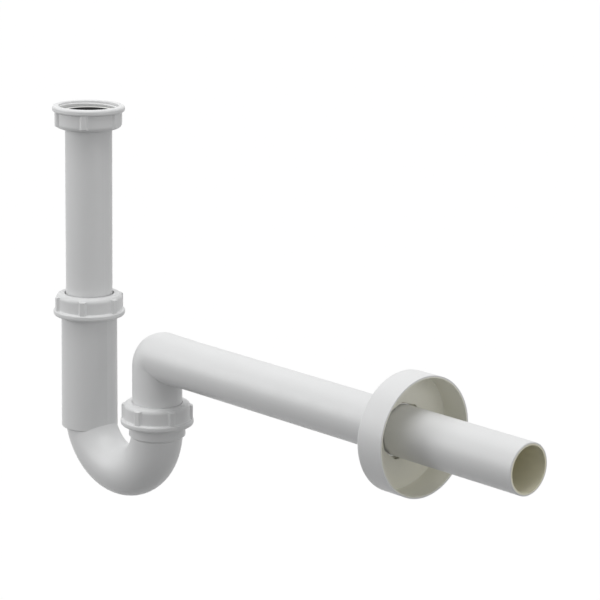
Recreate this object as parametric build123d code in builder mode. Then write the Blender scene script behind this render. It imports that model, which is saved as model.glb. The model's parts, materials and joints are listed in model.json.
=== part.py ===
from build123d import *

import os
from math import atan2, cos, degrees, radians, sin

# Washbasin tubular trap, in millimetres.
# The origin is the middle of the inlet gasket's top face, where the basin waste seats.
# +Z is up along the inlet tube, and +X runs along the outlet pipe towards the wall.

# Inlet tube
tube_radius = 15.8
tube_wall = 1.8
tube_length = 170.0  # from the collar's top face to the lower end
collar_height = 5.2
collar_clearance = 0.6  # between the collar and the nut's thread
mouth_flare = 1.5  # how far the tube's bore opens at the collar
gasket_thickness = 3.0

# Outlet bend: leg, elbow and long pipe in one moulding
leg_radius = 16.7
pipe_radius = 16.0  # at the straight end, nominal 32 mm pipe
pipe_root_radius = 16.2  # where the pipe has left the thicker elbow, and its draft starts
pipe_wall = 1.9
pipe_length = 328.0  # from the leg's axis to the open end
spigot_length = 75.0  # straight end that goes into the wall pipe
elbow_bend = 7.2  # bend radius of the elbow's middle line, less than the pipe's own radius
elbow_taper = 30.0  # length over which the elbow slims down to the pipe
leg_gap = 4.0  # free depth left under the leg in its socket
tube_lead = 1.0  # chamfer on the ends that go into a socket
pipe_edge = 0.4  # broken edge at the pipe's open end

# Trap bend: riser, U-bend and outlet stub in one moulding
leg_spacing = 72.0  # between the riser's axis and the stub's axis
riser_drop = 132.0  # from the origin down to the riser's mouth
riser_height = 74.0  # from the U-bend's centre up to the riser's mouth
stub_height = 12.4  # from the U-bend's centre up to the stub's mouth
pipe_height = 51.4  # from the U-bend's centre up to the pipe's axis
bend_step = 1.7  # how much slimmer the U-bend is than its sockets
bend_wall = 2.2
riser_draft = 0.3  # how much wider the riser's sleeve is at its foot than at its mouth
riser_foot = 12.4  # how far the riser's sleeve runs down past the U-bend's start
stub_foot = 5.0
riser_foot_edge = 0.7  # rounded lower edge of the riser's sleeve
stub_foot_edge = 2.2  # sloping lower edge of the stub, more than the step down to the U-bend
socket_floor = 2.2  # depth of the stub's shoulder below the U-bend's start

# Slip unions: a nut presses a slip ring and a wedge seal into the socket's mouth
slip_clearance = 0.35  # round a tube in its socket
socket_wall = 1.85  # thinnest wall of a threaded socket
thread_height = 1.1  # from a socket's outside to the nut's thread
seat_lip = 0.9  # wall left round the cone at the socket's mouth
seat_depth = 5.0
seal_clearance = 0.2
seal_toe = 0.5  # thickness of the wedge's thin end
seal_flange = 0.6  # how far the wedge's head reaches over the socket's rim
seal_rise = 2.2  # height of the wedge's head
ring_thickness = 2.0
ring_clearance = 0.5

# Union nuts, three of one mould
nut_height = 15.2
nut_base = 3.0
nut_wall = 2.4  # from the thread to the panels between the ribs
nut_edge = 3.2  # rounded edge of the closed end
nut_hole_clearance = 0.3
thread_relief = 0.5  # undercut behind the thread
mouth_edge = 0.8  # rounded inner edge of the open end
lip_rise = 1.95
lip_height = 3.9
lip_root = 0.9  # hollow rounding between the panels and the lip
lip_shoulder = 1.0  # rounding of the lip's inner side
lip_edge = 1.7  # rounding of the lip at the open end
rib_count = 6
rib_rise = 1.35
rib_width = 3.2
rib_flank = 1.1  # sideways run of each sloping flank
rib_edge = 0.5  # rounded long edges
rib_start = 1.6  # from the closed face to the ribs' rounded ends
inlet_rib_angle = -46.5
riser_rib_angle = -50.5
outlet_rib_angle = -15.0

# Wall rosette
rosette_radius = 37.5
rosette_depth = 20.0
rosette_wall = 1.4
rosette_edge = 1.8  # rounded edge of the closed end
rosette_corner = 0.6  # rounding inside that edge
rosette_place = 226.0  # from the leg's axis to the closed end
rosette_clearance = 0.45  # round the pipe in the rosette's hole
neck_rise = 1.8  # how far the thicker neck round the hole stands out behind the closed end
neck_wall = 1.6  # from the corners of the neck's seat to its outside
neck_lip = 1.2  # thickness of the round lip at the neck's back
seat_sides = 9  # the neck's seat in front of the lip is many-sided
seat_turn = 12.0
seat_gap = 0.35  # between the round hole and the seat's sides

# Radii that follow from the sizes above
tube_bore = tube_radius - tube_wall
gasket_bore = tube_bore + mouth_flare
union_radius = max(tube_radius, leg_radius) + slip_clearance + socket_wall
thread_radius = union_radius + thread_height
collar_radius = thread_radius - collar_clearance
seat_radius = union_radius - seat_lip
panel_radius = thread_radius + nut_wall
rib_radius = panel_radius + rib_rise
lip_radius = panel_radius + lip_rise
nut_hole_radius = max(tube_radius, leg_radius) + nut_hole_clearance
bend_radius = union_radius - bend_step
riser_bore = tube_radius + slip_clearance
stub_bore = leg_radius + slip_clearance
rosette_hole = pipe_radius + rosette_clearance
pipe_seat = rosette_hole + seat_gap  # from the axis to the seat's sides
neck_radius = pipe_seat / cos(radians(180 / seat_sides)) + neck_wall

# Levels and places that follow from the sizes above
nut_rise = seal_rise + ring_thickness + nut_base  # a slip nut's closed face over the mouth
inlet_nut_z = -gasket_thickness - collar_height - nut_base
thread_depth = inlet_nut_z + nut_height  # the gasket's top face lies where the thread ends
riser_mouth_z = -riser_drop
bend_z = riser_mouth_z - riser_height
stub_mouth_z = bend_z + stub_height
pipe_z = bend_z + pipe_height
floor_z = bend_z - socket_floor
leg_end_z = floor_z + leg_gap
elbow_x = leg_spacing + elbow_bend
elbow_z = pipe_z - elbow_bend
pipe_end_x = leg_spacing + pipe_length
spigot_x = pipe_end_x - spigot_length
rosette_x = leg_spacing + rosette_place
neck_x = rosette_x - neck_rise

inlet_axis = Axis.Z
stub_axis = Axis((leg_spacing, 0, 0), (0, 0, 1))
pipe_axis = Axis((0, 0, pipe_z), (1, 0, 0))
pipe_section = Plane(origin=(0, 0, pipe_z), x_dir=(1, 0, 0), z_dir=(0, -1, 0))


def upright_section(x):
    """Vertical plane through an upright axis at x: first coordinate outwards, second up."""
    return Plane(origin=(x, 0, 0), x_dir=(1, 0, 0), z_dir=(0, -1, 0))


def outline(*corners):
    """Closed face from corners given as (across, along) or (across, along, rounding)."""
    with BuildLine() as edge_line:
        FilletPolyline(
            *[corner[:2] for corner in corners],
            radius=[corner[2] if len(corner) > 2 else 0 for corner in corners],
            close=True,
        )
    make_face(edge_line.edges())


def nut_base_plane(x, closed_z, opens_up, rib_angle):
    """Plane on a nut's closed face, looking towards its open end, with a rib on its own x axis."""
    turn = radians(rib_angle)
    return Plane(
        origin=(x, 0, closed_z),
        x_dir=(cos(turn), sin(turn), 0),
        z_dir=(0, 0, 1 if opens_up else -1),
    )


def union_nut(base):
    """Ribbed union nut standing on its closed face: a cup with a hole, a lip and grip ribs."""
    section = Plane(origin=base.origin, x_dir=base.x_dir, z_dir=-base.y_dir)
    axis = Axis(base.origin, base.z_dir)
    rib_root = thread_radius + nut_wall / 2
    rib_crown = rib_radius + rib_edge
    rib_end = nut_height - lip_height / 2
    root_width = rib_width + 2 * (rib_radius - rib_root) * rib_flank / rib_rise
    with BuildPart() as ribs:
        with BuildSketch(section):
            outline(
                (rib_root, rib_start),
                (rib_crown, rib_start, rib_rise + rib_edge),
                (rib_crown, rib_end),
                (rib_root, rib_end),
            )
        revolve(axis=axis)
        with BuildSketch(base) as rib_plan:
            with PolarLocations((rib_root + rib_radius) / 2, rib_count):
                Trapezoid(
                    root_width,
                    rib_radius - rib_root,
                    degrees(atan2(rib_rise, rib_flank)),
                    rotation=-90,
                )
            rib_corners = rib_plan.vertices().sort_by_distance((0, 0, 0))
            fillet(rib_corners[-2 * rib_count :], radius=rib_edge)
        extrude(amount=nut_height, mode=Mode.INTERSECT)
    with BuildPart() as nut:
        with BuildSketch(section):
            outline(
                (nut_hole_radius, 0),
                (panel_radius, 0, nut_edge),
                (panel_radius, nut_height - lip_height, lip_root),
                (lip_radius, nut_height - lip_height, lip_shoulder),
                (lip_radius, nut_height, lip_edge),
                (thread_radius, nut_height, mouth_edge),
                (thread_radius, nut_height - thread_depth),
                (thread_radius + thread_relief, nut_height - thread_depth),
                (thread_radius + thread_relief, nut_base),
                (nut_hole_radius, nut_base),
            )
        revolve(axis=axis)
        add(ribs.part)
    return nut


def slip_ring(x, mouth_z, shaft_radius):
    """Flat ring that lets the nut turn without dragging the seal round."""
    low = mouth_z + seal_rise
    with BuildPart() as ring:
        with BuildSketch(Plane.XY.offset(low)):
            with Locations((x, 0)):
                Circle(collar_radius)
                Circle(shaft_radius + ring_clearance, mode=Mode.SUBTRACT)
        extrude(amount=ring_thickness)
    return ring


def wedge_seal(x, mouth_z, shaft_radius):
    """Rubber ring with a flat head on the socket's rim and a cone that follows the socket's seat."""
    bore = shaft_radius + seal_clearance
    toe = bore + seal_toe
    shoulder = seat_radius - seal_clearance
    seat_slope = seat_depth / (seat_radius - shaft_radius - slip_clearance)
    with BuildPart() as seal:
        with BuildSketch(upright_section(x)):
            outline(
                (bore, mouth_z + seal_rise),
                (seat_radius + seal_flange, mouth_z + seal_rise),
                (seat_radius + seal_flange, mouth_z),
                (shoulder, mouth_z),
                (toe, mouth_z - seat_slope * (shoulder - toe)),
                (bore, mouth_z - seat_slope * (shoulder - toe)),
            )
        revolve(axis=Axis((x, 0, 0), (0, 0, 1)))
    return seal


def socket_cut(axis, x, bore, floor, mouth_z):
    """Bore of a slip socket with the cone at its mouth, cut from the part being built."""
    with BuildSketch(upright_section(x)) as bore_section:
        outline(
            (0, floor),
            (bore, floor),
            (bore, mouth_z - seat_depth),
            (seat_radius, mouth_z),
            (seat_radius, mouth_z + seat_depth),
            (0, mouth_z + seat_depth),
        )
    revolve(bore_section.sketch, axis=axis, mode=Mode.SUBTRACT)


def u_bend(radius, mode):
    """Half a ring of round section from the riser down and up again to the stub."""
    with BuildSketch(Plane.XY.offset(bend_z)) as bend_section:
        Circle(radius)
    revolve(
        bend_section.sketch,
        axis=Axis((leg_spacing / 2, 0, bend_z), (0, -1, 0)),
        revolution_arc=180,
        mode=mode,
    )


def elbow_run(inset, low_z, mode):
    """Leg, tight elbow and drafted pipe, each slimmer than the outside by the inset.

    The bend radius is less than the section's radius, so the section is cut off at the turning axis
    and the throat is the sharp line where leg and pipe meet.
    """
    radius = leg_radius - inset
    end_radius = pipe_radius - inset
    with BuildSketch(Plane.XY.offset(low_z)) as leg_section:
        with Locations((leg_spacing, 0)):
            Circle(radius)
    extrude(leg_section.sketch, amount=elbow_z - low_z, mode=mode)
    with BuildSketch(Plane.XY.offset(elbow_z)) as corner_section:
        with Locations((leg_spacing, 0)):
            Circle(radius)
        with Locations((elbow_x, 0)):
            Rectangle(4 * radius, 4 * radius, align=(Align.MAX, Align.CENTER), mode=Mode.INTERSECT)
    turning_axis = Axis((elbow_x, 0, elbow_z), (0, 1, 0))
    revolve(corner_section.sketch, axis=turning_axis, revolution_arc=90, mode=mode)
    with BuildSketch(pipe_section) as pipe_outline:
        outline(
            (elbow_x, 0),
            (elbow_x, radius),
            (elbow_x + elbow_taper, pipe_root_radius - inset),
            (spigot_x, end_radius),
            (pipe_end_x, end_radius),
            (pipe_end_x, 0),
        )
    revolve(pipe_outline.sketch, axis=pipe_axis, mode=mode)


# Inlet union and tube
inlet_nut = union_nut(nut_base_plane(0, inlet_nut_z, True, inlet_rib_angle))

with BuildPart() as inlet_gasket:
    with BuildSketch(Plane.XY.offset(-gasket_thickness)):
        Circle(collar_radius)
        Circle(gasket_bore, mode=Mode.SUBTRACT)
    extrude(amount=gasket_thickness)

with BuildPart() as inlet_tube:
    collar_top = -gasket_thickness
    tube_end = collar_top - tube_length
    with BuildSketch(upright_section(0)):
        outline(
            (tube_bore, tube_end),
            (tube_radius - tube_lead, tube_end),
            (tube_radius, tube_end + tube_lead),
            (tube_radius, collar_top - collar_height),
            (collar_radius, collar_top - collar_height),
            (collar_radius, collar_top),
            (gasket_bore, collar_top),
            (tube_bore, collar_top - mouth_flare),
        )
    revolve(axis=inlet_axis)

# Trap bend with its two slip unions
with BuildPart() as trap_bend:
    riser_foot_z = bend_z - riser_foot
    with BuildSketch(upright_section(0)):
        outline(
            (0, riser_foot_z),
            (union_radius + riser_draft, riser_foot_z, riser_foot_edge),
            (union_radius, riser_mouth_z),
            (0, riser_mouth_z),
        )
    revolve(axis=inlet_axis)
    stub_foot_z = bend_z - stub_foot
    with BuildSketch(upright_section(leg_spacing)):
        outline(
            (0, stub_foot_z),
            (union_radius - stub_foot_edge, stub_foot_z),
            (union_radius, stub_foot_z + stub_foot_edge),
            (union_radius, stub_mouth_z),
            (0, stub_mouth_z),
        )
    revolve(axis=stub_axis)
    u_bend(bend_radius, Mode.ADD)
    u_bend(bend_radius - bend_wall, Mode.SUBTRACT)
    socket_cut(inlet_axis, 0, riser_bore, bend_z, riser_mouth_z)
    socket_cut(stub_axis, leg_spacing, stub_bore, floor_z, stub_mouth_z)

riser_seal = wedge_seal(0, riser_mouth_z, tube_radius)
riser_slip_ring = slip_ring(0, riser_mouth_z, tube_radius)
riser_nut = union_nut(nut_base_plane(0, riser_mouth_z + nut_rise, False, riser_rib_angle))
outlet_seal = wedge_seal(leg_spacing, stub_mouth_z, leg_radius)
outlet_slip_ring = slip_ring(leg_spacing, stub_mouth_z, leg_radius)
outlet_nut = union_nut(nut_base_plane(leg_spacing, stub_mouth_z + nut_rise, False, outlet_rib_angle))

# Outlet bend and rosette
with BuildPart() as outlet_bend:
    elbow_run(0, leg_end_z, Mode.ADD)
    leg_rim = outlet_bend.edges().filter_by(GeomType.CIRCLE).sort_by(Axis.Z)[0]
    chamfer(leg_rim, length=tube_lead)
    pipe_rim = outlet_bend.edges().filter_by(GeomType.CIRCLE).sort_by(Axis.X)[-1]
    chamfer(pipe_rim, length=pipe_edge)
    elbow_run(pipe_wall, leg_end_z, Mode.SUBTRACT)

with BuildPart() as wall_rosette:
    with BuildSketch(pipe_section):
        outline(
            (neck_x, rosette_hole),
            (neck_x, neck_radius),
            (rosette_x, neck_radius),
            (rosette_x, rosette_radius, rosette_edge),
            (rosette_x + rosette_depth, rosette_radius),
            (rosette_x + rosette_depth, rosette_radius - rosette_wall),
            (rosette_x + rosette_wall, rosette_radius - rosette_wall, rosette_corner),
            (rosette_x + rosette_wall, rosette_hole),
        )
    revolve(axis=pipe_axis)
    with BuildSketch(Plane.YZ.offset(neck_x + neck_lip)):
        with Locations((0, pipe_z)):
            RegularPolygon(pipe_seat, seat_sides, major_radius=False, rotation=seat_turn)
    extrude(amount=neck_rise + rosette_wall - neck_lip, mode=Mode.SUBTRACT)

pieces = {
    "inlet_nut": inlet_nut,
    "inlet_gasket": inlet_gasket,
    "inlet_tube": inlet_tube,
    "riser_nut": riser_nut,
    "riser_slip_ring": riser_slip_ring,
    "riser_seal": riser_seal,
    "trap_bend": trap_bend,
    "outlet_nut": outlet_nut,
    "outlet_slip_ring": outlet_slip_ring,
    "outlet_seal": outlet_seal,
    "outlet_bend": outlet_bend,
    "wall_rosette": wall_rosette,
}

os.makedirs("parts", exist_ok=True)
for name, piece in pieces.items():
    piece.part.label = name
    export_step(piece.part, f"parts/{name}.step")
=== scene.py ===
"""Looks of a white plastic washbasin trap: moulded finishes, screw threads, studio and camera.

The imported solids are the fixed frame, in metres. Each piece that is added here rides on one of their
bodies and takes its place from the frame, so it follows the solids at rest and in every pose.
"""

from __future__ import annotations

import json
import logging
import math
from collections.abc import Iterable
from dataclasses import dataclass
from enum import Enum

import bmesh
import bpy
from mathutils import Matrix, Vector


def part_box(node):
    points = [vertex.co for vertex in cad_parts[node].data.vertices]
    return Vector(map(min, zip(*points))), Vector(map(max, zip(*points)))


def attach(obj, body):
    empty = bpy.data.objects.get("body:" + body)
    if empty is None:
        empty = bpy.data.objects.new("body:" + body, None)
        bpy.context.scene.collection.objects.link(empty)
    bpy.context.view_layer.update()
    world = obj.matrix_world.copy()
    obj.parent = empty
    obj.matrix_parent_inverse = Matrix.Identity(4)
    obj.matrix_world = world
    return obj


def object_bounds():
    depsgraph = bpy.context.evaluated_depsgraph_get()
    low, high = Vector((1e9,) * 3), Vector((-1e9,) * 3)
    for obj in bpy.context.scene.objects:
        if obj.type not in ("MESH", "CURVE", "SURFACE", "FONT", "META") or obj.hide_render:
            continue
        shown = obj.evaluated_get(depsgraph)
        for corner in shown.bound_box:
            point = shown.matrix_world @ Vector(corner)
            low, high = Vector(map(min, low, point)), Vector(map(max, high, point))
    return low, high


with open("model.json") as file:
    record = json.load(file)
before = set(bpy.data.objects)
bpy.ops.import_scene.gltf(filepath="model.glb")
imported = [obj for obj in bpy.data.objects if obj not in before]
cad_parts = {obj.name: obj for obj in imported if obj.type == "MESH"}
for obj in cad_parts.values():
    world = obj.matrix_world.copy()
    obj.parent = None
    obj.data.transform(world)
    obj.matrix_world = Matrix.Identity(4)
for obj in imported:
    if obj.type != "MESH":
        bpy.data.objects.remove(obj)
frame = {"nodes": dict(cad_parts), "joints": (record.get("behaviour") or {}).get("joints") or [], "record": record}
CAD_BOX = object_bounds()

LOG = logging.getLogger("washbasin_trap")
MM = 0.001
ORIGIN = (0.0, 0.0, 0.0)
QUARTER_TURN = math.radians(90.0)
SMOOTH_ANGLE = math.radians(40.0)

Colour = tuple[float, float, float]


class ThreadSide(Enum):
    """The way in which a thread's ridge stands out from its round wall."""

    INNER = -1
    OUTER = 1


class PipeAxis(Enum):
    """The direction of a straight bore, as the share of each coordinate that lies across it."""

    UPRIGHT = (1.0, 1.0, 0.0)
    LEVEL = (0.0, 1.0, 1.0)


def mount(name: str) -> dict:
    """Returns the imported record's mount of that name."""
    return next(entry for entry in frame["record"]["mounts"] if entry["name"] == name)


def joint_place(name: str) -> Vector:
    """Returns a point on the axis of the joint of that name."""
    return Vector(next(entry for entry in frame["joints"] if entry["name"] == name)["pos_m"])


def screw_pitch(turning_joint: str) -> float:
    """Works out the pitch of a nut's thread from the coupling that lifts its slip ring.

    Args:
        turning_joint: The joint that the nut turns on.

    Returns:
        How far the nut climbs in one full turn, in metres.
    """
    couplings = frame["record"]["behaviour"]["couplings"]
    ratio = next(entry["ratio"] for entry in couplings if entry["follows"] == turning_joint)
    return ratio * math.tau


@dataclass(frozen=True)
class NoisePattern:
    """Size and fineness of a noise over a surface.

    Attributes:
        scale: Features per metre.
        detail: Octaves of finer noise.
    """

    scale: float
    detail: float


class NodeTree:
    """A material's node tree, with short methods for the nodes that the finishes share."""

    def __init__(self, name: str) -> None:
        """Starts a material with its shader and output.

        Args:
            name: The material's name.
        """
        self.material = bpy.data.materials.new(name)
        self.material.use_nodes = True
        self.nodes = self.material.node_tree.nodes
        self.links = self.material.node_tree.links
        self.nodes.clear()
        output = self.nodes.new("ShaderNodeOutputMaterial")
        self.surface = output.inputs["Surface"]
        self.shader = self.nodes.new("ShaderNodeBsdfPrincipled")
        self.links.new(self.shader.outputs["BSDF"], self.surface)

    def object_place(self) -> bpy.types.NodeSocket:
        """Returns the point's place in the object's own coordinates."""
        return self.nodes.new("ShaderNodeTexCoord").outputs["Object"]

    def noise(self, place: bpy.types.NodeSocket, pattern: NoisePattern) -> bpy.types.NodeSocket:
        """Adds a noise texture.

        Args:
            place: The coordinates that it reads.
            pattern: The noise's size and fineness.

        Returns:
            The noise value, from 0 to 1.
        """
        node = self.nodes.new("ShaderNodeTexNoise")
        node.inputs["Scale"].default_value = pattern.scale
        node.inputs["Detail"].default_value = pattern.detail
        self.links.new(place, node.inputs["Vector"])
        return node.outputs["Fac"]

    def spread(
        self,
        value: bpy.types.NodeSocket,
        low: float,
        high: float,
        from_low: float = 0.3,
        from_high: float = 0.7,
    ) -> bpy.types.NodeSocket:
        """Maps a value from one range to another, held at its ends.

        Args:
            value: The value to map.
            low: Result at from_low.
            high: Result at from_high.
            from_low: One end of the range that is read, by default about the lowest that noise gives.
            from_high: The other end, by default about the highest.

        Returns:
            The mapped value.
        """
        node = self.nodes.new("ShaderNodeMapRange")
        node.inputs["From Min"].default_value = from_low
        node.inputs["From Max"].default_value = from_high
        node.inputs["To Min"].default_value = low
        node.inputs["To Max"].default_value = high
        self.links.new(value, node.inputs["Value"])
        return node.outputs["Result"]

    def mix(
        self,
        share: bpy.types.NodeSocket,
        first: bpy.types.NodeSocket | Colour,
        second: bpy.types.NodeSocket | Colour,
    ) -> bpy.types.NodeSocket:
        """Mixes two colours, each of them fixed or made by other nodes.

        Args:
            share: How much of the second colour there is.
            first: The colour at 0.
            second: The colour at 1.

        Returns:
            The mixed colour.
        """
        node = self.nodes.new("ShaderNodeMixRGB")
        self.links.new(share, node.inputs["Fac"])
        for name, colour in (("Color1", first), ("Color2", second)):
            if isinstance(colour, bpy.types.NodeSocket):
                self.links.new(colour, node.inputs[name])
            else:
                node.inputs[name].default_value = (*colour, 1.0)
        return node.outputs["Color"]

    def multiply(self, first: bpy.types.NodeSocket, second: bpy.types.NodeSocket) -> bpy.types.NodeSocket:
        """Multiplies two values.

        Args:
            first: One value.
            second: The other value.

        Returns:
            Their product.
        """
        node = self.nodes.new("ShaderNodeMath")
        node.operation = "MULTIPLY"
        self.links.new(first, node.inputs[0])
        self.links.new(second, node.inputs[1])
        return node.outputs["Value"]

    def distance_from_axis(
        self, place: bpy.types.NodeSocket, middle: Vector, axis: PipeAxis
    ) -> bpy.types.NodeSocket:
        """Measures how far a point lies from a straight axis.

        Args:
            place: The point's place.
            middle: A point on the axis.
            axis: The axis's direction.

        Returns:
            The distance, in metres.
        """
        apart = self.nodes.new("ShaderNodeVectorMath")
        apart.operation = "SUBTRACT"
        self.links.new(place, apart.inputs[0])
        apart.inputs[1].default_value = middle
        across = self.nodes.new("ShaderNodeVectorMath")
        across.operation = "MULTIPLY"
        self.links.new(apart.outputs["Vector"], across.inputs[0])
        across.inputs[1].default_value = axis.value
        length = self.nodes.new("ShaderNodeVectorMath")
        length.operation = "LENGTH"
        self.links.new(across.outputs["Vector"], length.inputs[0])
        return length.outputs["Value"]

    def along_x(self, place: bpy.types.NodeSocket) -> bpy.types.NodeSocket:
        """Reads how far along the outlet pipe a point lies.

        Args:
            place: The point's place.

        Returns:
            Its x coordinate.
        """
        node = self.nodes.new("ShaderNodeSeparateXYZ")
        self.links.new(place, node.inputs["Vector"])
        return node.outputs["X"]

    def bump(self, layers: Iterable[tuple[bpy.types.NodeSocket, float]]) -> None:
        """Gives the shader a bumped normal.

        Args:
            layers: Pairs of a height value and its full height in metres, the coarsest first.
        """
        normal = None
        for height, depth in layers:
            node = self.nodes.new("ShaderNodeBump")
            node.inputs["Distance"].default_value = depth
            self.links.new(height, node.inputs["Height"])
            if normal is not None:
                self.links.new(normal, node.inputs["Normal"])
            normal = node.outputs["Normal"]
        self.links.new(normal, self.shader.inputs["Normal"])

    def drive(self, name: str, value: bpy.types.NodeSocket) -> None:
        """Links a value that changes over the surface to the shader's input of that name."""
        self.links.new(value, self.shader.inputs[name])

    def fix(self, **values: float) -> None:
        """Sets shader inputs that are the same all over, named with underscores for spaces."""
        for name, value in values.items():
            self.shader.inputs[name.replace("_", " ")].default_value = value


@dataclass(frozen=True)
class PaintedLightAndShade:
    """Light or shade painted into the colour inside a bore or a cup, such as the warm light that shines through a
    thin wall and the shade deep in a bore.

    Attributes:
        colour: The colour that is painted inside in place of the light or the shade.
        axis: The direction of the bore.
        middle: A point on the bore's axis.
        radius: The radius within the wall that parts the inside from the outside.
        from_x: Where given, only what lies beyond this x counts as inside.
        to_x: Where given, only what lies short of this x counts as inside.
        edge: Half of the width over which one tone goes over into the other.
    """

    colour: Colour
    axis: PipeAxis
    middle: Vector
    radius: float
    from_x: float | None = None
    to_x: float | None = None
    edge: float = 0.3 * MM

    def share(self, tree: NodeTree, place: bpy.types.NodeSocket) -> bpy.types.NodeSocket:
        """Works out where the surface is inside.

        Args:
            tree: The node tree to add to.
            place: The point's place.

        Returns:
            1 inside, 0 outside.
        """
        distance = tree.distance_from_axis(place, self.middle, self.axis)
        inside = self._step(tree, distance, 1.0, 0.0, self.radius)
        if self.from_x is not None:
            beyond = self._step(tree, tree.along_x(place), 0.0, 1.0, self.from_x)
            inside = tree.multiply(inside, beyond)
        if self.to_x is not None:
            short = self._step(tree, tree.along_x(place), 1.0, 0.0, self.to_x)
            inside = tree.multiply(inside, short)
        return inside

    def _step(
        self, tree: NodeTree, value: bpy.types.NodeSocket, before: float, after: float, limit: float
    ) -> bpy.types.NodeSocket:
        """Returns one value before a limit and another after it, with the soft edge between them."""
        return tree.spread(value, before, after, limit - self.edge, limit + self.edge)


@dataclass(frozen=True)
class MouldedPlastic:
    """Satin white plastic as it comes from a mould, with faint clouds and a fine grain.

    Attributes:
        name: The material's name.
        colour: The main colour.
        clouds: The second tone of the faint clouds in the plastic.
        roughness: Lowest and highest roughness over the surface.
        refraction: Refractive index of the plastic.
        gloss: Level of its highlights.
        waves: Height of the faint waves where the plastic has shrunk.
        grain: Height of the moulded grain.
        cloud_pattern: Noise of the clouds.
        sheen_pattern: Noise of the roughness.
        wave_pattern: Noise of the waves.
        grain_pattern: Noise of the grain.
        inner: The places where light or shade is painted into the plastic's colour.
    """

    name: str
    colour: Colour = (0.798, 0.802, 0.805)
    clouds: Colour = (0.77, 0.775, 0.776)
    roughness: tuple[float, float] = (0.33, 0.43)
    refraction: float = 1.49
    gloss: float = 0.45
    waves: float = 0.036 * MM
    grain: float = 0.012 * MM
    cloud_pattern: NoisePattern = NoisePattern(38.0, 2.0)
    sheen_pattern: NoisePattern = NoisePattern(160.0, 3.0)
    wave_pattern: NoisePattern = NoisePattern(55.0, 1.0)
    grain_pattern: NoisePattern = NoisePattern(1500.0, 2.0)
    inner: tuple[PaintedLightAndShade, ...] = ()

    def material(self) -> bpy.types.Material:
        """Builds the finish as a node material.

        Returns:
            The material.
        """
        tree = NodeTree(self.name)
        place = tree.object_place()
        colour = tree.mix(tree.noise(place, self.cloud_pattern), self.clouds, self.colour)
        # Painted light and shade inside bores and cups, mixed into the colour.
        for tone in self.inner:
            colour = tree.mix(tone.share(tree, place), colour, tone.colour)
        tree.drive("Base Color", colour)
        tree.drive("Roughness", tree.spread(tree.noise(place, self.sheen_pattern), *self.roughness))
        tree.fix(IOR=self.refraction, Specular_IOR_Level=self.gloss)
        shrink_waves = tree.noise(place, self.wave_pattern)
        fine_grain = tree.noise(place, self.grain_pattern)
        tree.bump([(shrink_waves, self.waves), (fine_grain, self.grain)])
        return tree.material


@dataclass(frozen=True)
class SoftRubber:
    """Dull rubber of a seal or a gasket.

    Attributes:
        name: The material's name.
        colour: The main colour.
        bloom: The tone of the bloom on its surface.
        roughness: Lowest and highest roughness over the surface.
        refraction: Refractive index of the rubber.
        gloss: Level of its highlights.
        grain: Height of the moulded grain.
        bloom_pattern: Noise of the bloom.
        grain_pattern: Noise of the grain.
        inner: The places where light or shade is painted into the rubber's colour.
    """

    name: str
    colour: Colour
    bloom: Colour
    roughness: tuple[float, float] = (0.62, 0.78)
    refraction: float = 1.52
    gloss: float = 0.35
    grain: float = 0.02 * MM
    bloom_pattern: NoisePattern = NoisePattern(220.0, 4.0)
    grain_pattern: NoisePattern = NoisePattern(1200.0, 2.0)
    inner: tuple[PaintedLightAndShade, ...] = ()

    def material(self) -> bpy.types.Material:
        """Builds the finish as a node material.

        Returns:
            The material.
        """
        tree = NodeTree(self.name)
        place = tree.object_place()
        bloom = tree.noise(place, self.bloom_pattern)
        colour = tree.mix(bloom, self.colour, self.bloom)
        # Painted shade inside bores, mixed into the colour.
        for tone in self.inner:
            colour = tree.mix(tone.share(tree, place), colour, tone.colour)
        tree.drive("Base Color", colour)
        tree.drive("Roughness", tree.spread(bloom, *self.roughness))
        tree.fix(IOR=self.refraction, Specular_IOR_Level=self.gloss)
        tree.bump([(tree.noise(place, self.grain_pattern), self.grain)])
        return tree.material


@dataclass(frozen=True)
class StudioPaper:
    """Pale floor that the camera sees as nearly white, and that keeps a soft shadow.

    Attributes:
        name: The material's name.
        colour: The colour that the paper throws back on the object.
        glow: How much of the paper's look is plain white to the camera.
        strength: The white's strength, which makes up for the share that isn't plain white.
        speckle_share: How bright the darkest speckles are, beside the colour.
        roughness: The paper's roughness.
        gloss: Level of its highlights.
        speckle_pattern: Noise of the speckles.
    """

    name: str
    colour: Colour
    glow: float
    strength: float
    speckle_share: float = 0.97
    roughness: float = 0.9
    gloss: float = 0.1
    speckle_pattern: NoisePattern = NoisePattern(40.0, 3.0)

    def material(self) -> bpy.types.Material:
        """Builds the finish as a node material.

        Returns:
            The material.
        """
        tree = NodeTree(self.name)
        speckle = tree.noise(tree.object_place(), self.speckle_pattern)
        darker = tuple(self.speckle_share * part for part in self.colour)
        tree.drive("Base Color", tree.mix(speckle, darker, self.colour))
        tree.fix(Roughness=self.roughness, Specular_IOR_Level=self.gloss)
        white = tree.nodes.new("ShaderNodeEmission")
        white.inputs["Strength"].default_value = self.strength
        seen = tree.nodes.new("ShaderNodeMixShader")
        tree.links.new(seen_by_camera(tree.nodes, tree.links, self.glow), seen.inputs["Fac"])
        tree.links.new(tree.shader.outputs["BSDF"], seen.inputs[1])
        tree.links.new(white.outputs["Emission"], seen.inputs[2])
        tree.links.new(seen.outputs["Shader"], tree.surface)
        return tree.material


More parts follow.
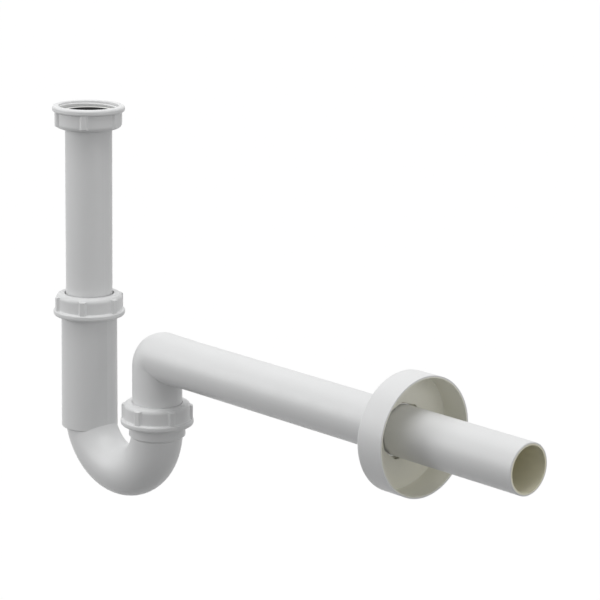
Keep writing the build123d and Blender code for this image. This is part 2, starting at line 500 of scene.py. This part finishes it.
def seen_by_camera(
    nodes: bpy.types.Nodes, links: bpy.types.NodeLinks, strength: float
) -> bpy.types.NodeSocket:
    """Marks the rays that show the background: from the camera, in a gloss or through glass.

    Args:
        nodes: The node tree's nodes.
        links: The node tree's links.
        strength: The value for those rays.

    Returns:
        The strength for such rays, and 0 for the rays that light the object.
    """
    path = nodes.new("ShaderNodeLightPath")
    marked = path.outputs["Is Camera Ray"]
    for name in ("Is Glossy Ray", "Is Transmission Ray"):
        either = nodes.new("ShaderNodeMath")
        either.operation = "MAXIMUM"
        links.new(marked, either.inputs[0])
        links.new(path.outputs[name], either.inputs[1])
        marked = either.outputs["Value"]
    scaled = nodes.new("ShaderNodeMath")
    scaled.operation = "MULTIPLY"
    links.new(marked, scaled.inputs[0])
    scaled.inputs[1].default_value = strength
    return scaled.outputs["Value"]


def paint(piece: bpy.types.Object, material: bpy.types.Material) -> None:
    """Puts a material in every slot of a piece, or in a first slot where it has none.

    Args:
        piece: The piece.
        material: The material.
    """
    if not piece.material_slots:
        piece.data.materials.append(material)
    for slot in piece.material_slots:
        slot.material = material


def paint_node(node: str, material: bpy.types.Material) -> None:
    """Puts a material on the solid of that name."""
    paint(frame["nodes"][node], material)


def close_mesh() -> None:
    """Turns the faces of the piece in edit mode outwards, leaves edit mode and smooths the round faces."""
    bpy.ops.mesh.select_all(action="SELECT")
    bpy.ops.mesh.normals_make_consistent(inside=False)
    bpy.ops.object.mode_set(mode="OBJECT")
    bpy.ops.object.shade_smooth_by_angle(angle=SMOOTH_ANGLE)


def pick_points(piece: bpy.types.Object, wanted: Iterable[int]) -> None:
    """Selects points of a piece and nothing else.

    Args:
        piece: The piece, in edit mode.
        wanted: The points' numbers.
    """
    bpy.ops.mesh.select_mode(type="VERT")
    bpy.ops.mesh.select_all(action="DESELECT")
    shape = bmesh.from_edit_mesh(piece.data)
    shape.verts.ensure_lookup_table()
    for number in wanted:
        shape.verts[number].select = True
    shape.select_flush_mode()
    bmesh.update_edit_mesh(piece.data)


@dataclass
class ScrewThread:
    """One ridge of a moulded screw thread, wound round an upright axis.

    Attributes:
        name: The piece's name.
        body: The body that it is moulded on.
        slot: The record's material slot of that body's plastic; not used.
        axis: A point on the thread's axis; its height is where the ridge's middle starts.
        wall_radius: Radius of the wall that the ridge stands on.
        pitch: Climb in one turn.
        turns: How many turns the ridge runs for.
        side: The way in which it stands out.
        height: How far it stands out from the wall.
        root_width: Width where it leaves the wall.
        crest_width: Width at its top.
        crest_edge: Rounding of its top's edges.
        edge_steps: Flat stretches in that rounding.
        sink: How far its root reaches into the wall.
        steps: Flat stretches in one turn.
        end_share: What is left of the section at the ridge's ends, where it runs out into the wall.
    """

    name: str
    body: str
    slot: str
    axis: Vector
    wall_radius: float
    pitch: float
    turns: float
    side: ThreadSide
    height: float = 0.75 * MM
    root_width: float = 1.35 * MM
    crest_width: float = 0.6 * MM
    crest_edge: float = 0.18 * MM
    edge_steps: int = 2
    sink: float = 0.06 * MM
    steps: int = 72
    end_share: float = 0.12

    def build(self) -> bpy.types.Object:
        """Models the ridge and hangs it on its body.

        Returns:
            The finished piece.
        """
        ridge = self._section()
        ring = len(ridge.data.vertices)
        self._wind(ridge)
        self._run_out(ridge, ring)
        bpy.ops.object.mode_set(mode="EDIT")
        bpy.ops.mesh.select_all(action="SELECT")
        bpy.ops.mesh.fill_holes(sides=0)
        bpy.ops.mesh.select_all(action="SELECT")
        bpy.ops.transform.translate(value=self.axis)
        close_mesh()
        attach(ridge, self.body)
        return ridge

    def _section(self) -> bpy.types.Object:
        """Makes the ridge's section as a loop of edges beside the axis.

        Returns:
            The piece, in object mode.
        """
        depth = self.height + self.sink
        bpy.ops.object.select_all(action="DESELECT")
        bpy.ops.mesh.primitive_plane_add(size=1.0)
        ridge = bpy.context.object
        ridge.name = self.name
        ridge.data.name = self.name
        bpy.ops.object.mode_set(mode="EDIT")
        bpy.ops.transform.rotate(value=QUARTER_TURN, orient_axis="X", center_override=ORIGIN)
        bpy.ops.transform.resize(value=(depth, 1.0, self.root_width))
        corners = bmesh.from_edit_mesh(ridge.data).verts
        pick_points(ridge, [corner.index for corner in corners if corner.co.x * self.side.value > 0])
        bpy.ops.transform.resize(value=(1.0, 1.0, self.crest_width / self.root_width))
        bpy.ops.mesh.bevel(offset=self.crest_edge, segments=self.edge_steps, affect="VERTICES")
        bpy.ops.mesh.select_all(action="SELECT")
        middle = self.wall_radius + self.side.value * (self.height - self.sink) / 2
        bpy.ops.transform.translate(value=(middle, 0.0, 0.0))
        bpy.ops.mesh.delete(type="ONLY_FACE")
        bpy.ops.object.mode_set(mode="OBJECT")
        return ridge

    def _wind(self, ridge: bpy.types.Object) -> None:
        """Winds the section up round the axis.

        Args:
            ridge: The section, which is the active piece.
        """
        screw = ridge.modifiers.new("winding", "SCREW")
        screw.axis = "Z"
        screw.angle = math.tau * self.turns
        screw.screw_offset = self.pitch * self.turns
        screw.steps = screw.render_steps = round(self.steps * self.turns)
        screw.use_merge_vertices = False
        bpy.ops.object.modifier_apply(modifier=screw.name)

    def _run_out(self, ridge: bpy.types.Object, ring: int) -> None:
        """Lets both ends of the ridge shrink into the wall.

        Args:
            ridge: The wound piece, in object mode.
            ring: How many points its section has.
        """
        count = len(ridge.data.vertices)
        bpy.ops.object.mode_set(mode="EDIT")
        for first, turn in ((0, 0.0), (count - ring, self.turns)):
            pick_points(ridge, range(first, first + ring))
            angle = math.tau * turn
            root = Vector((math.cos(angle), math.sin(angle), 0.0)) * self.wall_radius
            root.z = self.pitch * turn
            bpy.ops.transform.resize(value=(self.end_share,) * 3, center_override=root)
        bpy.ops.object.mode_set(mode="OBJECT")


@dataclass
class InletUnion:
    """Inlet tube with its gasket and the nut that screws on the basin's waste.

    Attributes:
        nut: The nut's solid and its body.
        tube: The tube's solid.
        gasket: The gasket's solid.
        thread_pitch: Climb of the nut's thread in one turn, 11 turns to the inch.
        thread_turns: Turns of its ridge.
        thread_start: From the gasket up to the ridge's start.
    """

    nut: str = "inlet_nut"
    tube: str = "inlet_tube"
    gasket: str = "inlet_gasket"
    thread_pitch: float = 2.309 * MM
    thread_turns: float = 0.95
    thread_start: float = 0.8 * MM

    def build(self) -> list[bpy.types.Object]:
        """Models the thread in the nut's mouth.

        Returns:
            The new pieces.
        """
        seat = mount("inlet_thread")
        thread = ScrewThread(
            name=f"{self.nut}_thread",
            body=self.nut,
            slot="nut_white",
            axis=Vector(seat["pos_m"]) + Vector((0.0, 0.0, self.thread_start)),
            wall_radius=seat["dims"]["r_mm"] * MM,
            pitch=self.thread_pitch,
            turns=self.thread_turns,
            side=ThreadSide.INNER,
        )
        return [thread.build()]

    def dress(self, pieces: list[bpy.types.Object], finishes: Finishes) -> None:
        """Paints the union.

        Args:
            pieces: The pieces that build made.
            finishes: The finishes to take from.
        """
        for piece in pieces:
            paint(piece, finishes.nut)
        paint_node(self.nut, finishes.nut)
        paint_node(self.tube, finishes.inlet_tube)
        paint_node(self.gasket, finishes.gasket)


@dataclass
class SlipUnion:
    """Slip nut with its ring and seal, on one of the trap bend's threaded sockets.

    Attributes:
        side: The union's name, which starts the names of its nodes.
        socket_body: The body that the socket is moulded on.
        outer_start: How far below the mouth the socket's ridge starts.
        outer_turns: Turns of the socket's ridge.
        inner_turns: Turns of the nut's ridge, half a pitch lower.
        thread_height: From the socket's outside to the nut's inside.
    """

    side: str
    socket_body: str = "trap"
    outer_start: float = 5.4 * MM
    outer_turns: float = 1.5
    inner_turns: float = 0.8
    thread_height: float = 1.1 * MM

    def build(self) -> list[bpy.types.Object]:
        """Models the threads of the socket and of the nut.

        Returns:
            The new pieces.
        """
        nut = f"{self.side}_nut"
        turning_joint = f"{nut}_turn"
        pitch = screw_pitch(turning_joint)
        # Both nuts stand as far over their socket's mouth, and the trap bend's top is the riser's mouth.
        nut_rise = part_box("riser_nut")[1].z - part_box("trap_bend")[1].z
        # The three nuts are of one mould, so the inlet's thread gives their radius.
        nut_radius = mount("inlet_thread")["dims"]["r_mm"] * MM
        axis = joint_place(turning_joint)
        axis.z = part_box(nut)[1].z - nut_rise - self.outer_start
        outer = ScrewThread(
            name=f"{self.side}_socket_thread",
            body=self.socket_body,
            slot="tube_white",
            axis=axis,
            wall_radius=nut_radius - self.thread_height,
            pitch=pitch,
            turns=self.outer_turns,
            side=ThreadSide.OUTER,
        )
        inner = ScrewThread(
            name=f"{nut}_thread",
            body=nut,
            slot="nut_white",
            axis=axis - Vector((0.0, 0.0, pitch / 2)),
            wall_radius=nut_radius,
            pitch=pitch,
            turns=self.inner_turns,
            side=ThreadSide.INNER,
        )
        return [outer.build(), inner.build()]

    def dress(self, pieces: list[bpy.types.Object], finishes: Finishes) -> None:
        """Paints the union.

        Args:
            pieces: The pieces that build made.
            finishes: The finishes to take from.
        """
        for piece, finish in zip(pieces, (finishes.trap_bend, finishes.nut)):
            paint(piece, finish)
        paint_node(f"{self.side}_nut", finishes.nut)
        paint_node(f"{self.side}_slip_ring", finishes.ring)
        paint_node(f"{self.side}_seal", finishes.seal)


@dataclass
class WaterWay:
    """Trap bend and outlet bend, whose solids already have their full form.

    Attributes:
        bend: The trap bend's solid.
        outlet: The outlet bend's solid.
    """

    bend: str = "trap_bend"
    outlet: str = "outlet_bend"

    def dress(self, finishes: Finishes) -> None:
        """Paints the two mouldings.

        Args:
            finishes: The finishes to take from.
        """
        paint_node(self.bend, finishes.trap_bend)
        paint_node(self.outlet, finishes.outlet_bend)


@dataclass
class WallRosette:
    """Rosette cup with the thin lip that grips the pipe in its neck.

    Attributes:
        node: The cup's solid.
        body: The body that the cup is on.
        slot: The record's material slot of its plastic; not used.
        hole_clearance: From the pipe to the neck's hole.
        grip_gap: From the pipe's end to the lip, more than the pipe's draft over the rosette's slide.
        sink: How far the lip's root reaches into the neck.
        set_in: From the neck's back to the lip.
        thickness: Thickness of the lip.
        steps: Flat stretches round the lip.
    """

    node: str = "wall_rosette"
    body: str = "rosette"
    slot: str = "rosette_white"
    hole_clearance: float = 0.45 * MM
    grip_gap: float = 0.18 * MM
    sink: float = 0.06 * MM
    set_in: float = 0.6 * MM
    thickness: float = 0.35 * MM
    steps: int = 120

    def build(self) -> list[bpy.types.Object]:
        """Models the grip lip as a thin flat ring.

        Returns:
            The new pieces.
        """
        spigot = mount("outlet_spigot")
        pipe_radius = spigot["dims"]["r_mm"] * MM
        root_radius = pipe_radius + self.hole_clearance + self.sink
        tip_share = (pipe_radius + self.grip_gap) / root_radius
        place = Vector(spigot["pos_m"])
        place.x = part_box(self.node)[0].x + self.set_in
        bpy.ops.object.select_all(action="DESELECT")
        bpy.ops.mesh.primitive_circle_add(vertices=self.steps, radius=root_radius, fill_type="NOTHING")
        lip = bpy.context.object
        lip.name = "rosette_grip_lip"
        lip.data.name = lip.name
        bpy.ops.object.mode_set(mode="EDIT")
        bpy.ops.transform.rotate(value=QUARTER_TURN, orient_axis="Y", center_override=ORIGIN)
        bpy.ops.mesh.extrude_region_move()
        bpy.ops.transform.resize(value=(1.0, tip_share, tip_share), center_override=ORIGIN)
        bpy.ops.mesh.select_all(action="SELECT")
        bpy.ops.transform.translate(value=place)
        bpy.ops.object.mode_set(mode="OBJECT")
        wall = lip.modifiers.new("wall", "SOLIDIFY")
        wall.thickness = self.thickness
        wall.offset = 0.0
        bpy.ops.object.modifier_apply(modifier=wall.name)
        bpy.ops.object.mode_set(mode="EDIT")
        close_mesh()
        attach(lip, self.body)
        return [lip]

    def dress(self, pieces: list[bpy.types.Object], finishes: Finishes) -> None:
        """Paints the cup and its lip.

        Args:
            pieces: The pieces that build made.
            finishes: The finishes to take from.
        """
        for piece in pieces:
            paint(piece, finishes.rosette)
        paint_node(self.node, finishes.rosette)


class Finishes:
    """The finishes of this trap, each made once.

    Attributes:
        PIPE_PAINTED_LIGHT: Painted warm light in the outlet pipe, which stands in for light that shines through
            its thin wall.
        CUP_PAINTED_LIGHT: Painted warm light in the rosette's cup, which stands in for light that shines through
            its thin wall.
        SEAT_PAINTED_SHADE: Painted shade in the narrow recessed seat round the pipe.
        SHAFT_PAINTED_SHADE: Painted shade deep in the inlet's bore, where little light gets in.
        HALF_WALL: Half of a tube's wall, where its inside and outside part.
        TUBE_RADIUS: Radius of the inlet tube.
        ELBOW_REACH: From the outlet leg's axis to where the pipe's painted light starts, past the elbow.
        CUP_DEPTH: Depth of the rosette.
        CUP_WALL: Wall of the rosette.
        SEAT_RADIUS: Radius round the pipe that takes in the seat's painted shade.
        SEAT_INSET: How far the seat's painted shade stays short of the neck's two faces.
    """

    # Painted warm light in the outlet pipe, for light that shines through its thin wall.
    PIPE_PAINTED_LIGHT: Colour = (0.86, 0.83, 0.66)
    # Painted warm light in the rosette's cup, for light that shines through its thin wall.
    CUP_PAINTED_LIGHT: Colour = (0.85, 0.84, 0.75)
    # Painted shade in the recessed seat round the pipe.
    SEAT_PAINTED_SHADE: Colour = (0.68, 0.66, 0.56)
    # Painted shade deep in the inlet's bore and the gasket's bore.
    SHAFT_PAINTED_SHADE: Colour = (0.05, 0.05, 0.05)
    HALF_WALL = 0.9 * MM
    TUBE_RADIUS = 15.8 * MM
    ELBOW_REACH = 20.0 * MM
    CUP_DEPTH = 20.0 * MM
    CUP_WALL = 1.4 * MM
    SEAT_RADIUS = 18.2 * MM
    SEAT_INSET = 0.5 * MM

    def __init__(self) -> None:
        """Makes the materials, with the painted light and shade inside them placed by the frame's mounts, joints
        and boxes.
        """
        self.nut = MouldedPlastic("nut_plastic").material()
        self.inlet_tube = MouldedPlastic("inlet_tube_plastic", inner=(self._tube_bore_painted_shade(),)).material()
        self.trap_bend = MouldedPlastic("trap_bend_plastic").material()
        self.outlet_bend = MouldedPlastic("outlet_bend_plastic", inner=(self._pipe_bore_painted_light(),)).material()
        self.rosette = MouldedPlastic("rosette_plastic", inner=(self._cup_painted_light(), self._pipe_seat_painted_shade())).material()
        self.ring = MouldedPlastic("slip_ring_plastic", roughness=(0.45, 0.55)).material()
        self.gasket = SoftRubber(
            "gasket_rubber",
            colour=(0.74, 0.74, 0.72),
            bloom=(0.80, 0.80, 0.78),
            inner=(self._gasket_bore_painted_shade(),),
        ).material()
        self.seal = SoftRubber(
            "seal_rubber", colour=(0.035, 0.035, 0.036), bloom=(0.06, 0.06, 0.06)
        ).material()

    def _tube_bore_painted_shade(self) -> PaintedLightAndShade:
        """Returns the painted shade deep in the inlet tube."""
        inlet = Vector(mount("inlet_thread")["pos_m"])
        return PaintedLightAndShade(self.SHAFT_PAINTED_SHADE, PipeAxis.UPRIGHT, inlet, self.TUBE_RADIUS - self.HALF_WALL)

    def _gasket_bore_painted_shade(self) -> PaintedLightAndShade:
        """Returns the painted shade of the gasket's bore, which is a little slimmer than the tube."""
        inlet = Vector(mount("inlet_thread")["pos_m"])
        return PaintedLightAndShade(self.SHAFT_PAINTED_SHADE, PipeAxis.UPRIGHT, inlet, self.TUBE_RADIUS)

    def _pipe_bore_painted_light(self) -> PaintedLightAndShade:
        """Returns the painted warm light in the outlet pipe, from past the elbow to its open end, for light that
        shines through its thin wall.
        """
        spigot = mount("outlet_spigot")
        return PaintedLightAndShade(
            self.PIPE_PAINTED_LIGHT,
            PipeAxis.LEVEL,
            Vector(spigot["pos_m"]),
            spigot["dims"]["r_mm"] * MM - self.HALF_WALL,
            from_x=joint_place("outlet_nut_turn").x + self.ELBOW_REACH,
        )

    def _cup_painted_light(self) -> PaintedLightAndShade:
        """Returns the painted warm light inside the rosette's cup, for light that shines through its thin wall."""
        return PaintedLightAndShade(
            self.CUP_PAINTED_LIGHT,
            PipeAxis.LEVEL,
            Vector(mount("outlet_spigot")["pos_m"]),
            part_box("wall_rosette")[1].y - self.CUP_WALL / 2,
            from_x=self._plate_x() + self.CUP_WALL / 2,
        )

    def _pipe_seat_painted_shade(self) -> PaintedLightAndShade:
        """Returns the painted shade of the narrow recessed seat round the pipe in the rosette's neck."""
        return PaintedLightAndShade(
            self.SEAT_PAINTED_SHADE,
            PipeAxis.LEVEL,
            Vector(mount("outlet_spigot")["pos_m"]),
            self.SEAT_RADIUS,
            from_x=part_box("wall_rosette")[0].x + self.SEAT_INSET,
            to_x=self._plate_x() + self.CUP_WALL - self.SEAT_INSET,
        )

    def _plate_x(self) -> float:
        """Returns where the rosette's closed end starts."""
        return mount("rosette_rim")["pos_m"][0] - self.CUP_DEPTH


@dataclass(frozen=True)
class Softbox:
    """One square lamp of the studio, aimed at the object's middle.

    Attributes:
        name: The lamp's name.
        azimuth: Degrees round the object, counted as the camera's are.
        elevation: Degrees above the level.
        distance: From the object's middle.
        size: Edge of the lamp.
        power: Watts.
    """

    name: str
    azimuth: float
    elevation: float
    distance: float
    size: float
    power: float

    def build(self, middle: Vector) -> None:
        """Sets the lamp up.

        Args:
            middle: The point that it is aimed at.
        """
        lamp = bpy.data.lights.new(self.name, "AREA")
        lamp.energy = self.power
        lamp.size = self.size
        holder = bpy.data.objects.new(self.name, lamp)
        bpy.context.scene.collection.objects.link(holder)
        back = view_back(self.azimuth, self.elevation)
        holder.location = middle + back * self.distance
        holder.rotation_euler = back.to_track_quat("Z", "Y").to_euler()


def view_back(azimuth: float, elevation: float) -> Vector:
    """Returns the direction from the object to a viewer, for angles in degrees."""
    turn, lift = math.radians(azimuth), math.radians(elevation)
    return Vector((math.sin(turn) * math.cos(lift), -math.cos(turn) * math.cos(lift), math.sin(lift)))


@dataclass
class Studio:
    """Pale floor well below the hanging trap, soft lamps and a white surround.

    Attributes:
        floor_drop: From the trap's lowest point down to the floor.
        floor_size: Edge of the floor.
        surround: Strength of the light that comes from all around.
        paper: The floor's finish.
        lamps: The lamps.
    """

    floor_drop: float = 0.45
    floor_size: float = 14.0
    surround: float = 0.46
    paper: StudioPaper = StudioPaper("studio_paper", colour=(0.25, 0.25, 0.25), glow=0.9, strength=1.1)
    lamps: tuple[Softbox, ...] = (
        Softbox("top_softbox", azimuth=0.0, elevation=85.0, distance=1.4, size=1.1, power=10.4),
        Softbox("left_softbox", azimuth=-45.0, elevation=15.0, distance=1.4, size=0.8, power=4.8),
        Softbox("right_softbox", azimuth=95.0, elevation=10.0, distance=1.4, size=0.9, power=2.3),
    )

    def build(self) -> None:
        """Sets up the floor, the lamps and the world."""
        low, high = CAD_BOX
        middle = (low + high) / 2
        bpy.ops.object.select_all(action="DESELECT")
        floor_place = (middle.x, middle.y, low.z - self.floor_drop)
        bpy.ops.mesh.primitive_plane_add(size=self.floor_size, location=floor_place)
        floor = bpy.context.object
        floor.name = "studio_floor"
        paint(floor, self.paper.material())
        for lamp in self.lamps:
            lamp.build(middle)
        self._surround()

    def _surround(self) -> None:
        """Makes a world that lights softly and looks plain white."""
        world = bpy.data.worlds.new("white_surround")
        bpy.context.scene.world = world
        world.use_nodes = True
        nodes, links = world.node_tree.nodes, world.node_tree.links
        nodes.clear()
        light = nodes.new("ShaderNodeBackground")
        light.inputs["Strength"].default_value = self.surround
        white = nodes.new("ShaderNodeBackground")
        for background in (light, white):
            background.inputs["Color"].default_value = (1.0, 1.0, 1.0, 1.0)
        seen = nodes.new("ShaderNodeMixShader")
        links.new(seen_by_camera(nodes, links, 1.0), seen.inputs["Fac"])
        links.new(light.outputs["Background"], seen.inputs[1])
        links.new(white.outputs["Background"], seen.inputs[2])
        links.new(seen.outputs["Shader"], nodes.new("ShaderNodeOutputWorld").inputs["Surface"])


@dataclass(frozen=True)
class PhotoCamera:
    """Camera at the photograph's view, for a square image.

    Attributes:
        azimuth: Degrees round the object.
        elevation: Degrees above the level.
        roll: Degrees that the image leans.
        distance: From the aim.
        aim: The point in the middle of the image.
        focal_pixels: Focal length in pixels of the image.
        image_pixels: Width of the image.
        sensor_mm: Width of the sensor.
    """

    azimuth: float = 46.47
    elevation: float = 13.62
    roll: float = 0.94
    distance: float = 1.5231
    aim: tuple[float, float, float] = (0.2085, 0.0, -0.0912)
    focal_pixels: float = 2463.4
    image_pixels: int = 600
    sensor_mm: float = 36.0

    def build(self) -> None:
        """Sets the camera up as the scene's own."""
        lens = bpy.data.cameras.new("photo_camera")
        lens.sensor_width = self.sensor_mm
        lens.lens = self.focal_pixels / self.image_pixels * self.sensor_mm
        camera = bpy.data.objects.new("photo_camera", lens)
        bpy.context.scene.collection.objects.link(camera)
        back = view_back(self.azimuth, self.elevation)
        level = back.to_track_quat("Z", "Y").to_matrix()
        turned = level @ Matrix.Rotation(math.radians(self.roll), 3, "Z")
        camera.matrix_world = Matrix.Translation(Vector(self.aim) + back * self.distance) @ turned.to_4x4()
        bpy.context.scene.camera = camera


def main() -> None:
    """Builds and dresses the trap, then the studio and the camera."""
    logging.basicConfig(level=logging.INFO, format="%(name)s: %(message)s")
    finishes = Finishes()
    for assembly in (InletUnion(), SlipUnion("riser"), SlipUnion("outlet"), WallRosette()):
        pieces = assembly.build()
        assembly.dress(pieces, finishes)
    WaterWay().dress(finishes)
    Studio().build()
    PhotoCamera().build()
    bpy.context.scene.view_settings.view_transform = "Standard"


if __name__ == "__main__":
    main()
